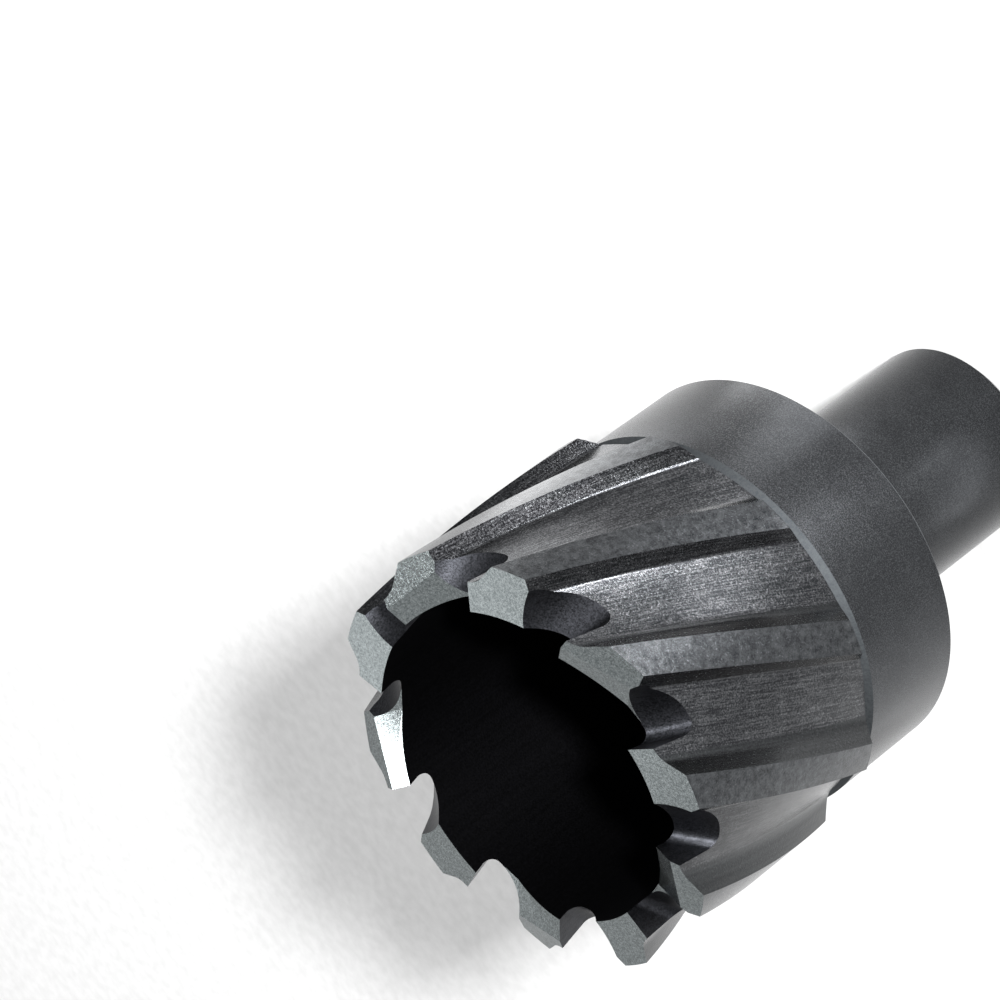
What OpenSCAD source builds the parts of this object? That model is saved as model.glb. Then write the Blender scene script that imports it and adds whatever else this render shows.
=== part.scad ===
// Annular cutter: a hollow, fluted cutting head on a collar and a clamping shank.
// It stands on the end of its shank, with the axis on Z and the teeth at the top.

/* [Cutting head] */
// Diameter over the tooth lands, which is the hole that the cutter makes
cut_d = 41.275; // [37:0.025:46]
// Length of the fluted head, from the collar to the tooth ridges
head_l = 26; // [18:0.1:36]
// Number of teeth, even because two tooth forms take turns
teeth = 10; // [8:2:12]
// Angle of the first tooth around the axis
edge_a = -3; // [-6:0.5:6]
// Thickness of the head from the hollow to the lands
wall = 4.85; // [4.5:0.05:5.2]
// How far the hollow runs past the head into the collar
hollow_past = 2.5; // [1:0.1:6]
// Radius in the corner of the hollow's floor
hollow_corner = 2; // [0.5:0.1:4]

/* [Flutes] */
// Helix angle on the lands
helix = 25; // [15:0.5:30]
// Width of a land around the circumference
land_w = 3.35; // [2.6:0.05:4]
// How far a land trails the inner corner of its tooth
land_lag = 3.15; // [2.4:0.05:3.6]
// Depth of a flute at the leading wall
lead_depth = 1.9; // [1.6:0.05:1.95]
// How far the leading wall leans out over its depth
lead_lean = 1.5; // [1:0.05:2.4]
// Depth of a flute at the back wall
back_depth = 1.5; // [1.2:0.05:1.8]
// How far the back wall leans out over its depth
back_lean = 0.8; // [0.4:0.05:1.2]
// Radius at the foot of the leading wall
lead_fillet = 2; // [0.8:0.1:3]
// Radius at the foot of the back wall
back_fillet = 0.45; // [0.2:0.05:0.8]

/* [Gullets] */
// Depth of a gullet in the wall of the hollow
gullet_depth = 2.7; // [2.2:0.05:3.2]
// Radius of the back of a gullet
gullet_r = 5.2; // [4.6:0.05:6]
// Radius at the foot of the cutting face
gullet_corner = 1; // [0.5:0.05:1.3]
// How far the lowest line of a gullet lies ahead of the tooth
gullet_ahead = 1.6; // [1:0.05:2]
// Slope of a gullet, outward and towards the shank
gullet_slope = 41; // [35:1:50]
// Turn of a gullet away from the radius
gullet_skew = 18; // [10:1:28]
// Hook of the cutting face under its edge
gullet_hook = 17; // [10:1:26]

/* [Tooth ends] */
// Height of a ridged tooth's crest over its inner corner
ridge_h = 0.6; // [0.4:0.02:0.8]
// Distance of the crest from the hollow
ridge_in = 2; // [1.6:0.05:2.6]
// How far the inner facet falls behind its edge before it levels out
inner_run = 6.6; // [6:0.1:7.2]
// Relief of the inner facet behind its edge
inner_relief = 14; // [12:0.1:16]
// Slope of the inner facet towards the hollow
inner_slope = 16.5; // [12:0.5:18]
// Relief of the outer facet behind its edge
outer_relief = 15; // [10:0.5:18]
// Slope of the outer facet towards the land
outer_slope = 12.4; // [8:0.1:14]
// Height of a flat tooth's inner corner over that of a ridged tooth
flat_h = 0.2; // [0:0.02:0.28]
// Relief of a flat tooth behind its edge
flat_relief = 6.5; // [4:0.5:10]
// Slope of a flat tooth towards its land
flat_slope = 4; // [2:0.5:6]

/* [Collar] */
// How far the collar lies below the lands
collar_step = 1.52; // [1.2:0.02:1.9]
// Length of the collar
collar_l = 12.3; // [8:0.1:20]
// Chamfer on the front edge of the collar
front_chamfer = 0.55; // [0.5:0.05:0.7]
// Chamfer on the back edge of the collar
back_chamfer = 0.45; // [0.2:0.05:1]
// Length of the cone at the end of the lands
runout_l = 1.4; // [0.8:0.1:3]

/* [Shank] */
// Diameter of the shank
shank_d = 19.05; // [16:0.05:25]
// Length of the shank behind the collar
shank_l = 26.2; // [22:0.1:40]
// Chamfer on the end of the shank
shank_chamfer = 1; // [0.3:0.1:1.5]
// Depth of each clamping flat
clamp_depth = 0.95; // [0.7:0.05:1]
// Length of each clamping flat
clamp_l = 8; // [6:0.5:10]
// Distance of the middle of each flat from the collar
clamp_at = 17.2; // [14:0.1:20]
// Angle between the two clamping flats
clamp_spread = 90; // [80:5:110]
// Diameter of the hole for the pilot pin
pilot_d = 6.4; // [5:0.05:8.5]
// Chamfer at the mouth of the pilot hole
pilot_chamfer = 0.6; // [0.2:0.1:1]

/* [Hidden] */
$fn = 96;
over = 1.2;                                       // cutters reach this far past what they cut
land_r = cut_d / 2;
hollow_r = land_r - wall;
collar_r = land_r - collar_step;
groove_r = collar_r - front_chamfer;
collar_z = shank_l + collar_l;                    // front of the collar
head_z = collar_z + head_l;                       // tooth ridges
tip_z = head_z - ridge_h;                         // inner corners of the ridged teeth
pitch = 360 / teeth;
pitch_y = hollow_r * sin(pitch);                  // from one inner corner back to the next
lead_rate = tan(helix) / land_r * 180 / PI;       // turn of the flutes for each millimetre
flute_slices = 14;
level_y = pitch_y - gullet_corner;                // a facet stops short of the next tooth
facet_t = 4;                                      // thickness of what the tooth ends lose
clamp_z = shank_l - clamp_at;

function polar(r, a) = [r * cos(a), r * sin(a)];
function unit(v) = v / norm(v);
function bearing(v) = atan2(v[1], v[0]);
function arc_angle(length, r) = length / r * 180 / PI;
function arc(centre, r, from, to, n) = [for (i = [0 : n]) centre + polar(r, from + (to - from) * i / n)];

// Points of the corner b between a and c, rounded to radius r
function rounded(a, b, c, r, n) =
    let (u = unit(a - b), v = unit(c - b), half = acos(u * v) / 2,
         centre = b + unit(u + v) * r / sin(half),
         from = bearing(b + u * r / tan(half) - centre),
         to = bearing(b + v * r / tan(half) - centre))
    arc(centre, r, from, from + (to - from + 540) % 360 - 180, n);

// Section of the flute ahead of the tooth at angle 0, at the height of the tips
function flute_section() =
    let (lead_a = -arc_angle(land_lag, land_r),
         back_a = pitch + lead_a - arc_angle(land_w, land_r),
         lead_top = polar(land_r, lead_a),
         lead_foot = polar(land_r - lead_depth, lead_a + arc_angle(lead_lean, land_r - lead_depth)),
         lead_out = lead_foot + (lead_top - lead_foot) * (1 + over / lead_depth),
         back_top = polar(land_r, back_a),
         back_foot = polar(land_r - back_depth, back_a - arc_angle(back_lean, land_r - back_depth)),
         back_out = back_foot + (back_top - back_foot) * (1 + over / back_depth))
    concat([lead_out],
           rounded(lead_out, lead_foot, back_foot, lead_fillet, 6),
           rounded(lead_foot, back_foot, back_out, back_fillet, 3),
           [back_out, polar(land_r + 2 * over, (lead_a + back_a) / 2)]);

// Section of a gullet across its slope: X runs into the steel, Y runs ahead of the tooth
function gullet_section() =
    let (hook = tan(gullet_hook),
         down = unit([1, -hook]), ahead = unit([hook, 1]),
         centre = [gullet_depth * cos(gullet_slope) - gullet_r, gullet_ahead],
         q = gullet_corner * ahead - centre,
         along = -q * down + sqrt(pow(q * down, 2) - q * q + pow(gullet_r - gullet_corner, 2)),
         corner = gullet_corner * ahead + along * down,
         join = bearing(corner - centre),
         top_x = centre[0] - gullet_r / 2)
    concat([[top_x, -hook * top_x]],
           arc(corner, gullet_corner, bearing(-ahead), join, 5),
           arc(centre, gullet_r, join, 86, 12),
           [[top_x, centre[1] + gullet_r]]);

module blank() {
    hollow_z = collar_z - hollow_past;
    pilot_r = pilot_d / 2;
    rotate_extrude()
        polygon(concat(
            [[pilot_r + pilot_chamfer, 0], [shank_d / 2 - shank_chamfer, 0], [shank_d / 2, shank_chamfer],
             [shank_d / 2, shank_l], [collar_r - back_chamfer, shank_l], [collar_r, shank_l + back_chamfer],
             [collar_r, collar_z - front_chamfer], [groove_r, collar_z],
             [land_r, collar_z + runout_l], [land_r, head_z], [hollow_r, head_z]],
            arc([hollow_r - hollow_corner, hollow_z + hollow_corner], hollow_corner, 0, -90, 6),
            [[pilot_r, hollow_z], [pilot_r, pilot_chamfer]]));
}

module flute() {
    length = head_l + over;
    translate([0, 0, collar_z])
        rotate(-lead_rate * (head_l - ridge_h))
            linear_extrude(height = length, twist = -lead_rate * length, slices = flute_slices, segments = 1)
                polygon(flute_section());
}

module gullet() {
    translate([hollow_r, 0, tip_z])
        rotate([0, 0, -gullet_skew])
            rotate([0, 90 + gullet_slope, 0])
                translate([0, 0, -wall])
                    linear_extrude(height = 3 * wall + 2 * over)
                        polygon(gullet_section());
}

// What a tooth end loses above a plane through [x, 0, z], which falls away from the edge as far as run
module facet(x, z, relief, slope, run = level_y) {
    ahead = 0.6 * wall;
    fall = run * tan(relief);
    translate([x, 0, z])
        rotate([0, slope, 0])
            rotate([90, 0, 90])
                translate([0, 0, -wall - over])
                    linear_extrude(height = 2 * (wall + over))
                        polygon(concat([[ahead, facet_t], [ahead, ahead * tan(relief)], [-run, -fall]],
                                       run < level_y ? [[-level_y, -fall]] : [],
                                       [[-level_y, facet_t]]));
}

module flat_tooth_end() {
    facet(hollow_r, tip_z + flat_h, flat_relief, flat_slope);
}

module ridged_tooth_end() {
    crest_x = hollow_r + ridge_in;
    facet(crest_x, head_z, inner_relief, -inner_slope, inner_run);
    facet(crest_x, head_z, outer_relief, outer_slope);
}

module clamping_flat() {
    translate([shank_d / 2 - clamp_depth, -shank_d / 2, clamp_z - clamp_l / 2])
        cube([clamp_depth + over, shank_d, clamp_l]);
}

// Places its children at every tooth, or at every second one
module at_teeth(first = 0, step = 1) {
    for (i = [first : step : teeth - 1])
        rotate(edge_a + i * pitch) children();
}

module cutter() {
    color("#34353a")
        difference() {
            blank();
            at_teeth() flute();
            at_teeth() gullet();
            at_teeth(0, 2) ridged_tooth_end();
            at_teeth(1, 2) flat_tooth_end();
            for (side = [-1, 1])
                rotate(2 * pitch + side * clamp_spread / 2) clamping_flat();
        }
}

cutter();
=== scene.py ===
"""Annular cutter: a hollow, fluted cutting head with ground teeth, on a collar and a clamping shank.

The cutter stands on the end of its shank, axis on Z, teeth at the top. Sizes are in millimetres and
become metres when a mesh is made. The visible body is cut the way the tool is made: a turned blank,
less its flutes, gullets, tooth ends and clamping flats, each a surface worked out with numpy.
"""

import logging
import math
from dataclasses import dataclass, field
from enum import IntEnum

import bpy
import numpy as np
from mathutils import Matrix, Vector

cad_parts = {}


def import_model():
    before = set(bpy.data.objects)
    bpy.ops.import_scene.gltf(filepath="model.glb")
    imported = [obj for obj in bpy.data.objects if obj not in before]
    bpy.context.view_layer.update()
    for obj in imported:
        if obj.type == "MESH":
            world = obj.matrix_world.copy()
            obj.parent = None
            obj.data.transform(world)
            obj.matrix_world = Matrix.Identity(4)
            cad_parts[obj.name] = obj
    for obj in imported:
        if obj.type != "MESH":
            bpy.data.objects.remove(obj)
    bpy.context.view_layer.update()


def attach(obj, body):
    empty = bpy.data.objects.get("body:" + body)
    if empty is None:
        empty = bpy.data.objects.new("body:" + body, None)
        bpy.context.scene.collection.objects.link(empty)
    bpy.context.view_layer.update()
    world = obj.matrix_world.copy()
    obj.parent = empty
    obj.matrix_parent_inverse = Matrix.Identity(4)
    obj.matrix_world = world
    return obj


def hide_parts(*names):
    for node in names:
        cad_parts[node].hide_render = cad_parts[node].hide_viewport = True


log = logging.getLogger("cutter")

MM = 0.001                                        # metres in a millimetre
OVER = 1.2                                        # how far a cut reaches past the steel it takes

BOTH_SIDES = np.array([-1, 1])
Y_AXIS = np.array([0, 1, 0])

# Octaves and fall-off of the noise patterns: crisp pin-points, and softer lines and clouds.
FINE_NOISE = {"Detail": 2.0, "Roughness": 0.7}
SOFT_NOISE = {"Detail": 3.0, "Roughness": 0.6}
FIBRE_NOISE = {"Detail": 2.0, "Roughness": 0.5}


class Zone(IntEnum):
    """The surfaces of the cutter that were made in different ways; the value is the material slot."""

    TURNED = 0
    # Collar chamfers: a paler tone, as a painted highlight.
    EDGE = 1
    LAND = 2
    FLUTE = 3
    # Leading walls and the lower part of their fillets: a darker tone, as painted shade.
    LEAD_WALL = 4
    # Gullets: a darker tone, as painted shade.
    GULLET = 5
    TOOTH_END = 6
    # Hollow: near black, as painted shade.
    HOLLOW = 7


def srgb(colour: str) -> tuple[float, float, float, float]:
    """Turns an sRGB hex colour to linear.

    Args:
        colour: six hex digits after a hash sign.

    Returns:
        Red, green, blue and an alpha of 1.
    """
    part = np.array([int(colour[i:i + 2], 16) for i in (1, 3, 5)]) / 255
    linear = np.where(part <= 0.04045, part / 12.92, ((part + 0.055) / 1.055) ** 2.4)
    return (*linear.tolist(), 1.0)


def per_mm(size: float) -> float:
    """Gives the texture scale at which a pattern has features of this size in millimetres."""
    return 1 / (size * MM)


def add_node(tree: bpy.types.NodeTree, kind: str, inputs: dict | None = None,
             **settings: str) -> bpy.types.Node:
    """Adds a node with its settings and links.

    Args:
        tree: the node tree.
        kind: the node's type name.
        inputs: values or output sockets by input name or number.
        settings: attributes of the node.

    Returns:
        The new node.
    """
    node = tree.nodes.new(kind)
    for name, value in settings.items():
        setattr(node, name, value)
    for name, value in (inputs or {}).items():
        if isinstance(value, bpy.types.NodeSocket):
            tree.links.new(value, node.inputs[name])
        else:
            node.inputs[name].default_value = value
    return node


def polar(radius: float | np.ndarray, angle: float | np.ndarray) -> np.ndarray:
    """Gives the point or points at a radius and an angle in radians."""
    return np.stack(np.broadcast_arrays(radius * np.cos(angle), radius * np.sin(angle)), axis=-1)


def arc(centre: np.ndarray, radius: float, start: float, end: float, steps: int) -> np.ndarray:
    """Gives steps + 1 points of a circle from one angle to another, in radians."""
    return np.asarray(centre) + polar(radius, np.linspace(start, end, steps + 1))


def bearing(vector: np.ndarray) -> float:
    """Gives the angle of a plane vector, in radians."""
    return math.atan2(vector[1], vector[0])


def rounded(a: np.ndarray, b: np.ndarray, c: np.ndarray, radius: float, steps: int) -> np.ndarray:
    """Rounds the corner b between a and c.

    The centre lies on the line that halves the corner, radius / sin(half the corner) from b, and the
    arc touches each side radius / tan(half the corner) from b.

    Args:
        a: point before the corner.
        b: the corner.
        c: point after the corner.
        radius: radius of the round.
        steps: number of chords in the round.

    Returns:
        The points of the arc that touches both sides.
    """
    u = (a - b) / np.linalg.norm(a - b)
    v = (c - b) / np.linalg.norm(c - b)
    half = math.acos(float(u @ v)) / 2
    centre = b + (u + v) / np.linalg.norm(u + v) * radius / math.sin(half)
    start = bearing(b + u * radius / math.tan(half) - centre)
    end = bearing(b + v * radius / math.tan(half) - centre)
    turn = (end - start + math.pi) % (2 * math.pi) - math.pi
    return arc(centre, radius, start, start + turn, steps)


def filled(points: np.ndarray, step: float) -> np.ndarray:
    """Adds points along the sides of a polygon, so that no side is longer than a step.

    Each side is cut into equal parts, as few as the step allows.

    Args:
        points: corners of the closed polygon.
        step: longest side that stays.

    Returns:
        The corners with the added points between them.
    """
    sides = np.roll(points, -1, axis=0) - points
    parts = np.maximum(1, np.ceil(np.linalg.norm(sides, axis=1) / step)).astype(int)
    side = np.repeat(np.arange(len(points)), parts)
    part = np.arange(len(side)) - np.repeat(np.cumsum(parts) - parts, parts)
    return points[side] + sides[side] * (part / parts[side])[:, None]


def turned(points: np.ndarray, angles: np.ndarray) -> np.ndarray:
    """Turns copies of a point array round Z.

    Args:
        points: array with x, y, z last.
        angles: one angle in radians for each copy.

    Returns:
        Array with the copies as its first axis.
    """
    cos, sin = np.cos(angles), np.sin(angles)
    zero, one = np.zeros_like(angles), np.ones_like(angles)
    rows = np.stack([cos, -sin, zero, sin, cos, zero, zero, zero, one], axis=-1).reshape(-1, 3, 3)
    return np.einsum("kij,...j->k...i", rows, points)


@dataclass
class Surface:
    """Vertices and faces of one or more closed solids, in millimetres."""

    points: np.ndarray
    faces: list[list[int]]
    zones: list[int]

    @classmethod
    def swept(cls, rings: np.ndarray, zone: Zone | np.ndarray) -> "Surface":
        """Joins rings of points into tubes with capped ends.

        Vertex (solid, ring, i) is joined to its neighbours in i and in ring, and the first and the
        last ring of each solid are closed by one face each. Rings that would give faces that point
        inwards are taken the other way round.

        Args:
            rings: array of solids, rings, points and x, y, z.
            zone: what the faces belong to, one for all or one for each point of a ring.

        Returns:
            The closed solids.
        """
        solids, count, around, _ = rings.shape
        zones = np.broadcast_to(zone, around)
        centred = rings[0] - rings[0].mean(axis=(0, 1))
        first, last = centred[0], centred[-1]
        if np.einsum("ij,ij->", np.cross(first, np.roll(first, -1, axis=0)), last) < 0:
            rings, zones = rings[:, :, ::-1], np.roll(zones[::-1], -1)
        index = np.arange(solids * count * around).reshape(solids, count, around)
        here, above = index[:, :-1], index[:, 1:]
        quads = np.stack([here, np.roll(here, -1, axis=2), np.roll(above, -1, axis=2), above], axis=-1)
        faces = quads.reshape(-1, 4).tolist() + index[:, 0, ::-1].tolist() + index[:, -1].tolist()
        owners = np.tile(zones, solids * (count - 1)).tolist() + [int(zones[0])] * (2 * solids)
        return cls(rings.reshape(-1, 3), faces, owners)

    def to_object(self, name: str, materials: list[bpy.types.Material]) -> bpy.types.Object:
        """Puts the surface into a new mesh object, in metres.

        Args:
            name: name of the object.
            materials: one material for each zone.

        Returns:
            The object, with its place in its mesh.
        """
        mesh = bpy.data.meshes.new(name)
        mesh.from_pydata((self.points * MM).tolist(), [], self.faces)
        for material in materials:
            mesh.materials.append(material)
        mesh.polygons.foreach_set("material_index", self.zones)
        mesh.polygons.foreach_set("use_smooth", [True] * len(self.faces))
        mesh.update()
        obj = bpy.data.objects.new(name, mesh)
        bpy.context.scene.collection.objects.link(obj)
        return obj


@dataclass
class Blank:
    """The turned bar: shank, collar, head and hollow, as one profile carried round the axis."""

    cut_d: float = 41.275                         # over the tooth lands
    head_l: float = 26.0                          # from the collar to the tooth ridges
    teeth: int = 10
    edge_a: float = -3.0                          # angle of the first tooth, in degrees
    wall: float = 4.85                            # from the hollow to the lands
    hollow_past: float = 2.5                      # how far the hollow runs into the collar
    hollow_corner: float = 2.0                    # radius round the hollow's floor
    collar_step: float = 1.52                     # from the lands down to the collar
    collar_l: float = 12.3
    front_chamfer: float = 0.55
    back_chamfer: float = 0.45
    runout_l: float = 1.4                         # cone at the end of the lands
    shank_d: float = 19.05
    shank_l: float = 26.2
    shank_chamfer: float = 1.0
    pilot_d: float = 6.4                          # hole for the pilot pin
    pilot_chamfer: float = 0.6
    segments: int = 360
    corner_steps: int = 8

    @property
    def pitch(self) -> float:
        """Angle from one tooth to the next, in radians."""
        return 2 * math.pi / self.teeth

    @property
    def land_r(self) -> float:
        """Radius over the tooth lands."""
        return self.cut_d / 2

    @property
    def hollow_r(self) -> float:
        """Radius of the hollow."""
        return self.land_r - self.wall

    @property
    def collar_r(self) -> float:
        """Radius of the collar."""
        return self.land_r - self.collar_step

    @property
    def collar_z(self) -> float:
        """Height of the collar's front."""
        return self.shank_l + self.collar_l

    @property
    def head_z(self) -> float:
        """Height of the tooth ridges."""
        return self.collar_z + self.head_l

    def edges(self, first: int = 0, step: int = 1) -> np.ndarray:
        """Gives the angles of the cutting edges.

        Args:
            first: number of the first tooth.
            step: from one tooth to the next.

        Returns:
            One angle in radians for each tooth.
        """
        return math.radians(self.edge_a) + self.pitch * np.arange(first, self.teeth, step)

    def surface(self) -> Surface:
        """Turns the profile.

        Vertex (i, j) is profile point j, as a radius and a height, at angle i of the circle. The
        profile goes up the outside and down through the hollow and the pilot hole, so the grid is
        closed both ways. Face (i, j) lies between profile points j and j + 1.

        Returns:
            The closed blank.
        """
        shank_r, pilot_r = self.shank_d / 2, self.pilot_d / 2
        hollow_z = self.collar_z - self.hollow_past
        shank = [(pilot_r + self.pilot_chamfer, 0), (shank_r - self.shank_chamfer, 0),
                 (shank_r, self.shank_chamfer), (shank_r, self.shank_l)]
        collar = [(self.collar_r - self.back_chamfer, self.shank_l),
                  (self.collar_r, self.shank_l + self.back_chamfer),
                  (self.collar_r, self.collar_z - self.front_chamfer),
                  (self.collar_r - self.front_chamfer, self.collar_z)]
        head = [(self.land_r, self.collar_z + self.runout_l), (self.land_r, self.head_z),
                (self.hollow_r, self.head_z)]
        corner = arc((self.hollow_r - self.hollow_corner, hollow_z + self.hollow_corner),
                     self.hollow_corner, 0, -math.pi / 2, self.corner_steps)
        hollow = np.concatenate([corner, [(pilot_r, hollow_z), (pilot_r, self.pilot_chamfer)]])
        profile = np.concatenate([shank, collar, head, hollow])
        angle = np.linspace(0, 2 * math.pi, self.segments, endpoint=False)
        ring = polar(profile[:, 0], angle[:, None])
        points = np.concatenate([ring, np.broadcast_to(profile[:, 1:], (*ring.shape[:2], 1))], axis=2)
        index = np.arange(points.shape[0] * points.shape[1]).reshape(points.shape[:2])
        ahead = np.roll(index, -1, axis=0)
        quads = np.stack([index, ahead, np.roll(ahead, -1, axis=1), np.roll(index, -1, axis=1)], axis=-1)
        back_edge, front_edge, head_start = len(shank), len(shank) + 2, len(shank) + len(collar)
        zone = np.full(len(profile), Zone.HOLLOW)
        zone[:head_start] = Zone.TURNED
        zone[[back_edge, front_edge]] = Zone.EDGE
        zone[head_start:head_start + 2] = Zone.LAND
        zone[-1] = Zone.TURNED                    # mouth of the pilot hole
        return Surface(points.reshape(-1, 3), quads.reshape(-1, 4).tolist(),
                       np.tile(zone, self.segments).tolist())


@dataclass
class Flutes:
    """The helical flutes between the lands: one section carried up a helix."""

    blank: Blank
    helix: float = 25.0                           # degrees on the lands
    land_w: float = 3.35
    land_lag: float = 3.15                        # from the inner corner of a tooth back to its land
    lead_depth: float = 1.9
    lead_lean: float = 1.5                        # how far the leading wall leans out over its depth
    back_depth: float = 1.5
    back_lean: float = 0.8
    lead_fillet: float = 2.0
    back_fillet: float = 0.45
    rows: int = 72
    lead_steps: int = 12
    back_steps: int = 8
    painted_shade_share: float = 2 / 3                     # part of the leading fillet that gets the wall's darker tone, as painted shade
    side_step: float = 0.8                        # longest side of the section in the mesh

    @property
    def rate(self) -> float:
        """Turn of the flutes in radians for each millimetre of height."""
        return math.tan(math.radians(self.helix)) / self.blank.land_r

    def section(self) -> np.ndarray:
        """Draws the flute ahead of the tooth at angle 0, at the height of the tips.

        Two leaning walls and the floor between them, with both feet rounded, and past the lands a
        cap that clears the steel.

        Returns:
            The outline, from the top of the leading wall round to the cap.
        """
        r = self.blank.land_r
        lead_a = -self.land_lag / r
        back_a = self.blank.pitch + lead_a - self.land_w / r
        lead_r, back_r = r - self.lead_depth, r - self.back_depth
        lead_top, back_top = polar(r, lead_a), polar(r, back_a)
        lead_foot = polar(lead_r, lead_a + self.lead_lean / lead_r)
        back_foot = polar(back_r, back_a - self.back_lean / back_r)
        lead_out = lead_foot + (lead_top - lead_foot) * (1 + OVER / self.lead_depth)
        back_out = back_foot + (back_top - back_foot) * (1 + OVER / self.back_depth)
        cap = polar(r + 2 * OVER, (lead_a + back_a) / 2)
        lead = rounded(lead_out, lead_foot, back_foot, self.lead_fillet, self.lead_steps)
        back = rounded(lead_foot, back_foot, back_out, self.back_fillet, self.back_steps)
        return np.concatenate([[lead_out], lead, back, [back_out, cap]])

    def surface(self, tip_z: float) -> Surface:
        """Carries the section up the helix, once for each flute.

        Point i of row k is section point i turned by rate times its height over the tips.

        Args:
            tip_z: height at which the section stands at angle 0.

        Returns:
            The closed bodies that the flutes take away.
        """
        z = np.linspace(self.blank.collar_z, self.blank.head_z + OVER, self.rows)
        section = self.section()
        outline = filled(section, self.side_step)
        wall_end = section[1 + round(self.painted_shade_share * self.lead_steps)]
        wall = np.linalg.norm(outline - wall_end, axis=1).argmin()
        zones = np.where(np.arange(len(outline)) < wall, Zone.LEAD_WALL, Zone.FLUTE)
        rings = turned(np.pad(outline, ((0, 0), (0, 1))), self.rate * (z - tip_z))
        rings[..., 2] += z[:, None]
        return Surface.swept(turned(rings, self.blank.edges()), zones)


@dataclass
class Gullets:
    """The gullets ahead of the teeth: one rounded section carried outwards down a slope."""

    blank: Blank
    depth: float = 2.7                            # in the wall of the hollow
    radius: float = 5.2                           # back of a gullet
    corner: float = 1.0                           # radius at the foot of the cutting face
    ahead: float = 1.6                            # from the tooth to the lowest line
    slope: float = 41.0                           # degrees, outwards and towards the shank
    skew: float = 18.0                            # degrees away from the radius
    hook: float = 17.0                            # degrees of the cutting face under its edge
    back_end: float = 86.0                        # degrees at which the arc of the back ends
    corner_steps: int = 12
    back_steps: int = 36
    rows: int = 12

    def section(self) -> np.ndarray:
        """Draws a gullet across its slope: X runs into the steel, Y runs ahead of the tooth.

        A straight cutting face leans under its edge by the hook. A small arc at its foot touches it
        and runs into the large arc of the back.

        Returns:
            The outline, from the top of the cutting face to the top of the back.
        """
        hook = math.tan(math.radians(self.hook))
        down = np.array([1, -hook]) / math.hypot(1, hook)
        ahead = np.array([hook, 1]) / math.hypot(1, hook)
        centre = np.array([self.depth * math.cos(math.radians(self.slope)) - self.radius, self.ahead])
        offset = self.corner * ahead - centre
        rise = offset @ down
        along = -rise + math.sqrt(rise ** 2 - offset @ offset + (self.radius - self.corner) ** 2)
        corner = self.corner * ahead + along * down
        join = bearing(corner - centre)
        top = centre[0] - self.radius / 2
        foot = arc(corner, self.corner, bearing(-ahead), join, self.corner_steps)
        back = arc(centre, self.radius, join, math.radians(self.back_end), self.back_steps)
        return np.concatenate([[(top, -hook * top)], foot, back, [(top, centre[1] + self.radius)]])

    def surface(self, tip_z: float, first: int) -> Surface:
        """Carries the section down the slope at every second tooth.

        Point i of row k is section point i, moved along the slope by reach k.

        Args:
            tip_z: height of the inner corners, where the slope starts.
            first: number of the first tooth.

        Returns:
            The closed bodies that these gullets take away.
        """
        section = self.section()
        slope, skew = math.radians(self.slope), math.radians(self.skew)
        into = np.array([-math.sin(slope), 0, -math.cos(slope)])
        along = np.array([math.cos(slope), 0, -math.sin(slope)])
        reach = np.linspace(-self.blank.wall, 2 * (self.blank.wall + OVER), self.rows)
        rings = section[:, :1] * into + section[:, 1:] * Y_AXIS + reach[:, None, None] * along
        rings = turned(rings, np.array([-skew]))[0] + [self.blank.hollow_r, 0, tip_z]
        return Surface.swept(turned(rings, self.blank.edges(first, 2)), Zone.GULLET)


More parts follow.
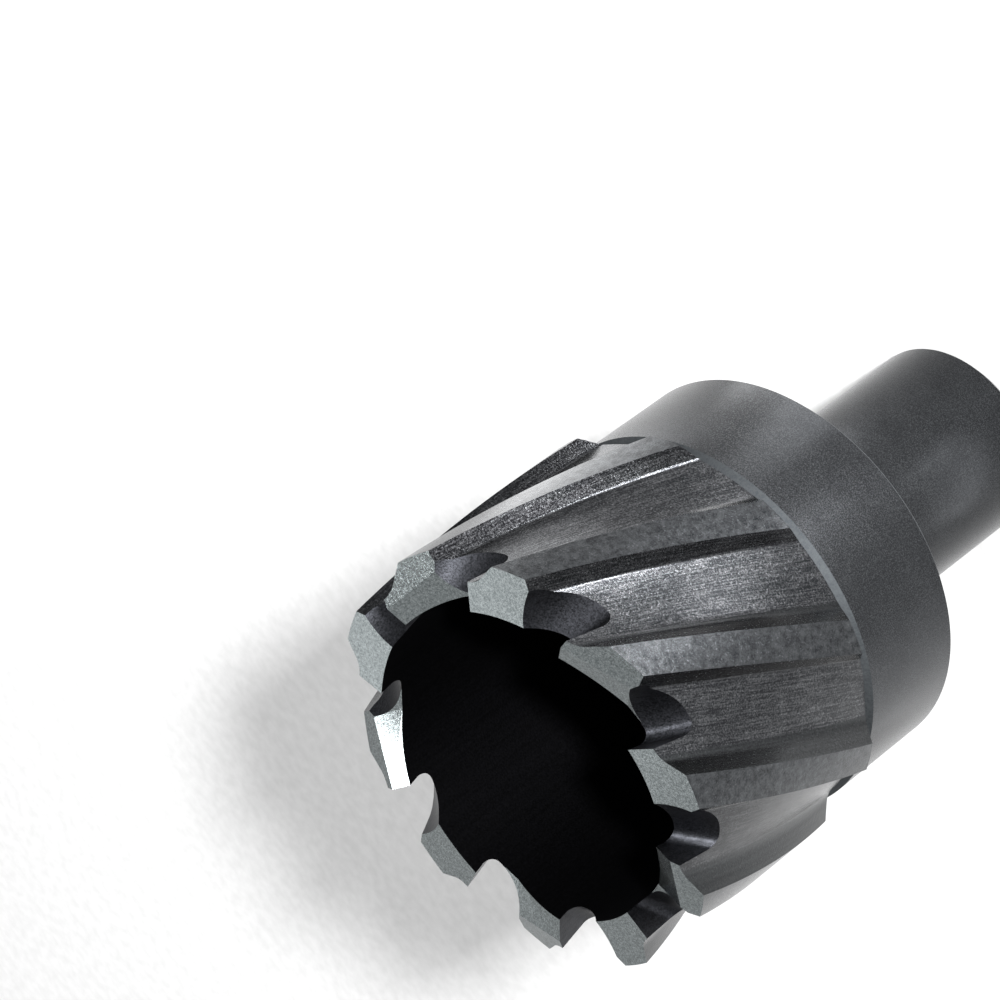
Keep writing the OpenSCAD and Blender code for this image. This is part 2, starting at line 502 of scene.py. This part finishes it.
@dataclass
class ToothEnds:
    """The ground ends of the teeth: ridged ones with two facets, and flat ones, in turn."""

    blank: Blank
    stop_short: float = 1.0                       # a facet stops this far before the next tooth
    ridge_h: float = 0.6                          # from a ridged tooth's inner corner to its crest
    ridge_in: float = 2.0                         # from the hollow to the crest
    inner_run: float = 6.6                        # how far the inner facet falls before it levels out
    inner_relief: float = 14.0                    # reliefs and slopes are in degrees
    inner_slope: float = 16.5
    outer_relief: float = 15.0
    outer_slope: float = 12.4
    flat_h: float = 0.2                           # a flat tooth's inner corner over a ridged one's
    flat_relief: float = 6.5
    flat_slope: float = 4.0
    height: float = 4.0                           # of what is taken off
    ahead_share: float = 0.6                      # what is taken off ahead of the edge, for each wall

    @property
    def tip_z(self) -> float:
        """Height of the inner corners of the ridged teeth."""
        return self.blank.head_z - self.ridge_h

    def facet(self, x: float, z: float, relief: float, slope: float, first: int,
              run: float | None = None) -> Surface:
        """Makes what a plane through (x, 0, z) takes off every second tooth.

        The outline across the tooth is the plane's line, which falls behind the edge, under a box. It
        is carried outwards along the slope.

        Args:
            x: distance of the plane's edge from the axis.
            z: height of the plane's edge.
            relief: fall of the plane behind the edge, in degrees.
            slope: fall of the plane outwards, in degrees.
            first: number of the first tooth.
            run: how far behind the edge the plane levels out, if it does.

        Returns:
            The closed bodies above the plane.
        """
        level = self.blank.hollow_r * math.sin(self.blank.pitch) - self.stop_short
        run = run or level
        ahead = self.ahead_share * self.blank.wall
        fall = math.tan(math.radians(relief))
        outline = [(ahead, self.height), (ahead, ahead * fall), (-run, -run * fall)]
        outline += [(-level, -run * fall)] if run < level else []
        outline += [(-level, self.height)]
        yz = np.array(outline)[::-1]
        reach = (self.blank.wall + OVER) * BOTH_SIDES
        tilt = math.radians(slope)
        out = np.array([math.cos(tilt), 0, -math.sin(tilt)])
        up = np.array([math.sin(tilt), 0, math.cos(tilt)])
        rings = yz[:, :1] * Y_AXIS + yz[:, 1:] * up + reach[:, None, None] * out + [x, 0, z]
        return Surface.swept(turned(rings, self.blank.edges(first, 2)), Zone.TOOTH_END)

    def surfaces(self) -> list[Surface]:
        """Makes what is ground off the ridged teeth and off the flat ones.

        Returns:
            The inner and outer facets of the ridged teeth, and the facets of the flat teeth.
        """
        head_z, hollow_r = self.blank.head_z, self.blank.hollow_r
        crest = hollow_r + self.ridge_in
        return [self.facet(crest, head_z, self.inner_relief, -self.inner_slope, 0, self.inner_run),
                self.facet(crest, head_z, self.outer_relief, self.outer_slope, 0),
                self.facet(hollow_r, self.tip_z + self.flat_h, self.flat_relief, self.flat_slope, 1)]


@dataclass
class ClampingFlats:
    """The two flats on the back of the shank."""

    blank: Blank
    depth: float = 0.95
    length: float = 8.0
    at: float = 17.2                              # from the collar to the middle of each flat
    middle: float = 72.0                          # angle halfway between the flats, in degrees
    spread: float = 90.0                          # degrees from one flat to the other
    width: float = 12.0                           # of the block that is milled away

    def surface(self) -> Surface:
        """Makes the two blocks that are milled away, on either side of the middle angle.

        Returns:
            The closed blocks, each with its inner side at the flat.
        """
        face = self.blank.shank_d / 2 - self.depth
        z = self.blank.shank_l - self.at + self.length / 2 * BOTH_SIDES
        x = np.array([face, face + self.depth + OVER])[[0, 1, 1, 0]]
        y = self.width / 2 * np.array([-1, -1, 1, 1])
        rings = np.stack(np.broadcast_arrays(x, y, z[:, None]), axis=-1)
        places = np.radians(self.middle + self.spread / 2 * BOTH_SIDES)
        return Surface.swept(turned(rings, places), Zone.TURNED)


@dataclass(frozen=True)
class SteelFinish:
    """Tool steel, blackened or bare, with the marks of the tool that made the surface.

    The eye sees a soft grey sheen, fine lines along the cut and a sparkle of pin-point grains. The
    real grains and lines are hundredths of a millimetre wide. Here they are a tenth or more, as coarse
    as they need to be to show in the render.
    """

    name: str
    dark: str = "#2c2d2f"
    pale: str = "#525456"
    ramp: tuple[float, float] = (0.36, 0.64)      # pattern values of the dark and the pale tone
    roughness: float = 0.22
    gloss_spread: float = 0.06                    # how much roughness the grains add or take
    gloss_range: tuple[float, float] = (0.3, 0.7)
    grain: float = 0.16                           # grain size in millimetres
    grain_bump: float = 1.0
    line: float = 0.3                             # line width in millimetres
    line_bump: float = 0.3
    line_share: float = 0.35                      # of the lines in the tone
    patch: float = 1.0                            # size of the clouds in millimetres
    patch_share: float = 0.0                      # of the clouds in the tone
    relief: float = 0.02                          # height of the marks in millimetres
    along: tuple[float, float, float] = (1.0, 1.0, 0.02)  # small along the direction of the lines
    twist: float = 0.0                            # turn of the lines in radians for each millimetre

    def build(self) -> bpy.types.Material:
        """Makes the material: lines along the cut and grain over all, in colour, gloss and bump.

        The lines are noise that is drawn out along the cut, after the twist of the flutes is taken
        out of the coordinates.

        Returns:
            The material.
        """
        material = bpy.data.materials.new(self.name)
        material.use_nodes = True
        tree = material.node_tree
        shader = tree.nodes["Principled BSDF"]
        place = add_node(tree, "ShaderNodeTexCoord").outputs["Object"]
        height = add_node(tree, "ShaderNodeSeparateXYZ", {0: place}).outputs["Z"]
        angle = add_node(tree, "ShaderNodeMath", {0: height, 1: -self.twist / MM}, operation="MULTIPLY")
        straight = add_node(tree, "ShaderNodeVectorRotate",
                            {"Vector": place, "Angle": angle.outputs[0]}, rotation_type="Z_AXIS")
        drawn = add_node(tree, "ShaderNodeVectorMath", {0: straight.outputs[0], 1: self.along},
                         operation="MULTIPLY")
        lines = add_node(tree, "ShaderNodeTexNoise",
                         {"Vector": drawn.outputs[0], "Scale": per_mm(self.line), **SOFT_NOISE})
        grain = add_node(tree, "ShaderNodeTexNoise",
                         {"Vector": place, "Scale": per_mm(self.grain), **FINE_NOISE})
        both = add_node(tree, "ShaderNodeMix",
                        {0: self.line_share, 2: grain.outputs[0], 3: lines.outputs[0]})
        patches = add_node(tree, "ShaderNodeTexNoise",
                           {"Vector": place, "Scale": per_mm(self.patch), **SOFT_NOISE})
        mottled = add_node(tree, "ShaderNodeMix",
                           {0: self.patch_share, 2: both.outputs[0], 3: patches.outputs[0]})
        tone = add_node(tree, "ShaderNodeValToRGB", {"Fac": mottled.outputs[0]})
        for stop, position, colour in zip(tone.color_ramp.elements, self.ramp, (self.dark, self.pale)):
            stop.position, stop.color = position, srgb(colour)
        gloss = add_node(tree, "ShaderNodeMapRange",
                         {"Value": grain.outputs[0],
                          "From Min": self.gloss_range[0], "From Max": self.gloss_range[1],
                          "To Min": self.roughness - self.gloss_spread,
                          "To Max": self.roughness + self.gloss_spread})
        scratched = add_node(tree, "ShaderNodeBump",
                             {"Height": lines.outputs[0], "Strength": self.line_bump,
                              "Distance": self.relief * MM})
        rough = add_node(tree, "ShaderNodeBump",
                         {"Height": grain.outputs[0], "Strength": self.grain_bump,
                          "Distance": self.relief * MM, "Normal": scratched.outputs[0]})
        shader.inputs["Metallic"].default_value = 1.0
        tree.links.new(tone.outputs[0], shader.inputs["Base Color"])
        tree.links.new(gloss.outputs[0], shader.inputs["Roughness"])
        tree.links.new(rough.outputs[0], shader.inputs["Normal"])
        return material


@dataclass(frozen=True)
class WhitePaper:
    """Uncoated white paper: a flat pale ground, with faint clouds of fibre that show in the shadow."""

    name: str = "white_paper"
    dark: str = "#cacaca"
    pale: str = "#d3d3d3"
    ramp: tuple[float, float] = (0.3, 0.7)
    roughness: float = 0.9
    fibre: float = 1.5                            # clouds in millimetres; single fibres are too fine

    def build(self) -> bpy.types.Material:
        """Makes the material: two close tones of paper in soft clouds.

        Returns:
            The material.
        """
        material = bpy.data.materials.new(self.name)
        material.use_nodes = True
        tree = material.node_tree
        shader = tree.nodes["Principled BSDF"]
        place = add_node(tree, "ShaderNodeTexCoord").outputs["Object"]
        fibres = add_node(tree, "ShaderNodeTexNoise",
                          {"Vector": place, "Scale": per_mm(self.fibre), **FIBRE_NOISE})
        tone = add_node(tree, "ShaderNodeValToRGB", {"Fac": fibres.outputs[0]})
        for stop, position, colour in zip(tone.color_ramp.elements, self.ramp, (self.dark, self.pale)):
            stop.position, stop.color = position, srgb(colour)
        tree.links.new(tone.outputs[0], shader.inputs["Base Color"])
        shader.inputs["Roughness"].default_value = self.roughness
        return material


@dataclass
class Cutter:
    """The whole cutter, one solid that takes the place of the plain one in the frame."""

    blank: Blank = field(default_factory=Blank)
    crease: float = 24.0                          # edges sharper than this stay sharp, in degrees

    def finishes(self, flutes: Flutes) -> list[bpy.types.Material]:
        """Makes one material for each zone, in the order of the zones.

        Args:
            flutes: give the twist that the lines on the head follow.

        Returns:
            The materials.
        """
        twist = flutes.rate
        finishes = [
            # Turned and blackened: an even charcoal satin, a little cloudy, with faint rings.
            SteelFinish("black_oxide_turned", dark="#2b2c2e", pale="#494b4d", ramp=(0.44, 0.74),
                        roughness=0.26, grain=0.12, grain_bump=0.5, line=0.12, line_bump=0.1,
                        line_share=0.15, patch=4.0, patch_share=0.15, along=(0.06, 0.06, 1.0)),
            # The collar's chamfers: a pale, dull line, paler than the turned steel as a painted highlight
            # along the edges.
            SteelFinish("black_oxide_edge_painted_highlight", dark="#393c3f", pale="#4b4e50", roughness=0.65,
                        line_bump=0.1, grain_bump=0.3),
            # Lands ground, then blackened: smooth, with small clouds in the oxide.
            SteelFinish("black_oxide_ground_land", twist=twist, dark="#242527", pale="#4a4c4e",
                        line_bump=0.1, line_share=0.15, patch=0.7, patch_share=0.5),
            # Flute floors milled, then blackened: streaks along the helix that catch the light.
            SteelFinish("black_oxide_milled_flute", twist=twist, dark="#232426", pale="#626365",
                        ramp=(0.45, 0.72), grain_bump=0.8, line=0.12, line_bump=0.5, line_share=0.42,
                        patch=1.2, patch_share=0.12, along=(1.0, 1.0, 0.035)),
            # Leading walls of the flutes and the lower part of their fillets: the darkest of the milled
            # faces, a darker tone as painted shade in the troughs.
            SteelFinish("black_oxide_milled_wall_painted_shade", twist=twist, dark="#1c1d1f", pale="#363839"),
            # Gullets milled, then blackened: dull, with a few grains that sparkle, and darker than the
            # flutes as painted shade in these recesses.
            SteelFinish("black_oxide_gullet", dark="#1b1c1e", pale="#36373b", roughness=0.42,
                        grain_bump=0.8),
            # Tooth ends ground bright after blackening: pale bare steel with a fine sparkle.
            SteelFinish("ground_tool_steel", dark="#6a7172", pale="#a9b0b1", roughness=0.2,
                        grain=0.14, grain_bump=0.22),
            # Hollow bored, then blackened: near black, as painted shade deep in the hollow; almost no
            # light comes back out of it.
            SteelFinish("black_oxide_bored_painted_shade", dark="#0b0b0c", pale="#121214", roughness=0.6),
        ]
        return [finish.build() for finish in finishes]

    def build(self) -> bpy.types.Object:
        """Cuts the flutes, gullets, tooth ends and flats out of the blank.

        Returns:
            The finished object.
        """
        flutes, gullets = Flutes(self.blank), Gullets(self.blank)
        ends, flats = ToothEnds(self.blank), ClampingFlats(self.blank)
        materials = self.finishes(flutes)
        body = self.blank.surface().to_object("cutter_body", materials)
        cuts = [flutes.surface(ends.tip_z), gullets.surface(ends.tip_z, 0), gullets.surface(ends.tip_z, 1),
                *ends.surfaces(), flats.surface()]
        tools = [cut.to_object(f"cut_{i}", materials) for i, cut in enumerate(cuts)]
        for tool in tools:
            modifier = body.modifiers.new(tool.name, "BOOLEAN")
            modifier.operation = "DIFFERENCE"
            modifier.solver = "MANIFOLD"
            modifier.object = tool
        graph = bpy.context.evaluated_depsgraph_get()
        mesh = bpy.data.meshes.new_from_object(body.evaluated_get(graph))
        body.modifiers.clear()
        body.data = mesh
        for tool in tools:
            bpy.data.objects.remove(tool)
        mesh.set_sharp_from_angle(angle=math.radians(self.crease))
        return body


@dataclass(frozen=True)
class Lamp:
    """A soft lamp that the camera doesn't see: a rectangle that shines from one side."""

    name: str
    azimuth: float                                # from the cutter, in degrees from +X towards +Y
    size: tuple[float, float]                     # width and height in millimetres
    radiance: float                               # brightness of its face, where 1 is white

    def hang(self, place: Vector, away: Vector) -> None:
        """Hangs the lamp.

        Args:
            place: middle of the lamp in millimetres.
            away: direction from what it lights to the lamp.
        """
        data = bpy.data.lights.new(self.name, "AREA")
        data.shape = "RECTANGLE"
        data.size, data.size_y = self.size[0] * MM, self.size[1] * MM
        data.energy = self.radiance * math.pi * data.size * data.size_y
        lamp = bpy.data.objects.new(self.name, data)
        lamp.visible_camera = False
        turn = away.to_track_quat("Z", "Y").to_matrix().to_4x4()
        lamp.matrix_world = Matrix.Translation(place * MM) @ turn
        bpy.context.scene.collection.objects.link(lamp)


@dataclass(frozen=True)
class Softbox(Lamp):
    """A lamp that looks at the middle of the head from a distance."""

    elevation: float                              # over the level, in degrees
    distance: float                               # from the middle of the head
    head_middle: float = 50.0                     # height of the middle of the head

    def build(self) -> None:
        """Hangs the lamp in its direction from the middle of the head."""
        a, e = math.radians(self.azimuth), math.radians(self.elevation)
        away = Vector((math.cos(a) * math.cos(e), math.sin(a) * math.cos(e), math.sin(e)))
        self.hang(away * self.distance + Vector((0, 0, self.head_middle)), away)


@dataclass(frozen=True)
class Card(Lamp):
    """A shining card on the floor, which the upright faces of the cutter mirror to the camera."""

    reach: float                                  # from the axis
    height: float = 1.0                           # over the floor
    lean: float = 0.01                            # gives the card's width a direction across the azimuth

    def build(self) -> None:
        """Lays the card on the floor with its face up."""
        a = math.radians(self.azimuth)
        place = Vector((math.cos(a) * self.reach, math.sin(a) * self.reach, self.height))
        self.hang(place, Vector((math.cos(a) * self.lean, math.sin(a) * self.lean, -1.0)))


LAMPS: tuple[Softbox | Card, ...] = (
    # Key, which throws the shadow, then two large fills.
    Softbox("sun_side", azimuth=-97, elevation=27, distance=800, size=(60, 60), radiance=1500.0),
    Softbox("overhead", azimuth=-63, elevation=55, distance=500, size=(300, 300), radiance=1.6),
    Softbox("back", azimuth=82, elevation=42, distance=500, size=(220, 220), radiance=0.9),
    # A low strip for the bright line on a back wall, and a rim lamp for the flash on a tooth end.
    Softbox("strip", azimuth=-82, elevation=-13, distance=190, size=(160, 24), radiance=80.0),
    Softbox("rim", azimuth=45, elevation=69.5, distance=500, size=(100, 100), radiance=17.0),
    # Cards where the flutes, the collar and the shank mirror them.
    Card("card_front", azimuth=-88, reach=80, size=(18, 18), radiance=13.0),
    Card("card_lead", azimuth=-46, reach=47, size=(20, 20), radiance=4.0),
    Card("card_wall", azimuth=-20, reach=37, size=(26, 16), radiance=4.5),
    Card("card_right", azimuth=8, reach=80, size=(60, 40), radiance=3.0),
    Card("card_left", azimuth=-176, reach=66, size=(50, 50), radiance=0.6),
    Card("card_shank", azimuth=-125, reach=20, size=(24, 8), radiance=1.6),
)


@dataclass
class Stage:
    """Floor, lamps, world and camera."""

    camera_at: tuple[float, float, float] = (-25.461, -329.447, 290.647)
    camera_to: tuple[float, float, float] = (18.733, -9.888, 54.045)
    camera_roll: float = -125.109                 # degrees
    lens: float = 165.377
    sensor: float = 36.0
    clip: tuple[float, float] = (0.01, 20.0)      # nearest and farthest that the camera sees, in metres
    floor_half: float = 3000.0                    # from the middle of the floor to its sides
    floor_drop: float = 0.1                       # keeps the floor clear of the shank's end
    surround: str = "#ffffff"
    surround_strength: float = 0.56

    def camera(self) -> None:
        """Places the camera of the photograph: a long lens, rolled far over."""
        data = bpy.data.cameras.new("camera")
        data.lens, data.sensor_width = self.lens, self.sensor
        data.clip_start, data.clip_end = self.clip
        at, to = Vector(self.camera_at), Vector(self.camera_to)
        back = (at - to).normalized()
        side = Vector((0, 0, 1)).cross(back).normalized()
        level = Matrix((side, back.cross(side), back)).transposed()
        turn = level @ Matrix.Rotation(math.radians(self.camera_roll), 3, "Z")
        obj = bpy.data.objects.new("camera", data)
        obj.matrix_world = Matrix.Translation(at * MM) @ turn.to_4x4()
        bpy.context.scene.collection.objects.link(obj)
        bpy.context.scene.camera = obj

    def floor(self) -> None:
        """Lays a wide pale floor just under the shank."""
        corners = self.floor_half * np.array([(-1, -1, 0), (1, -1, 0), (1, 1, 0), (-1, 1, 0)])
        mesh = bpy.data.meshes.new("floor")
        mesh.from_pydata(((corners - [0, 0, self.floor_drop]) * MM).tolist(), [], [(0, 1, 2, 3)])
        mesh.materials.append(WhitePaper().build())
        floor = bpy.data.objects.new("floor", mesh)
        bpy.context.scene.collection.objects.link(floor)

    def world(self) -> None:
        """Gives an even pale surround."""
        world = bpy.data.worlds.new("studio")
        bpy.context.scene.world = world
        world.use_nodes = True
        back = world.node_tree.nodes["Background"]
        back.inputs["Color"].default_value = srgb(self.surround)
        back.inputs["Strength"].default_value = self.surround_strength

    def build(self) -> None:
        """Sets the whole stage."""
        self.camera()
        self.floor()
        for lamp in LAMPS:
            lamp.build()
        self.world()
        bpy.context.scene.view_settings.view_transform = "Standard"


def main() -> None:
    """Loads the frame, builds the cutter around it and sets the stage."""
    logging.basicConfig(level=logging.INFO)
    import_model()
    body = Cutter().build()
    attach(body, "root")
    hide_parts("cutter")
    log.info("%s: %d faces", body.name, len(body.data.polygons))
    Stage().build()


if __name__ == "__main__":
    main()
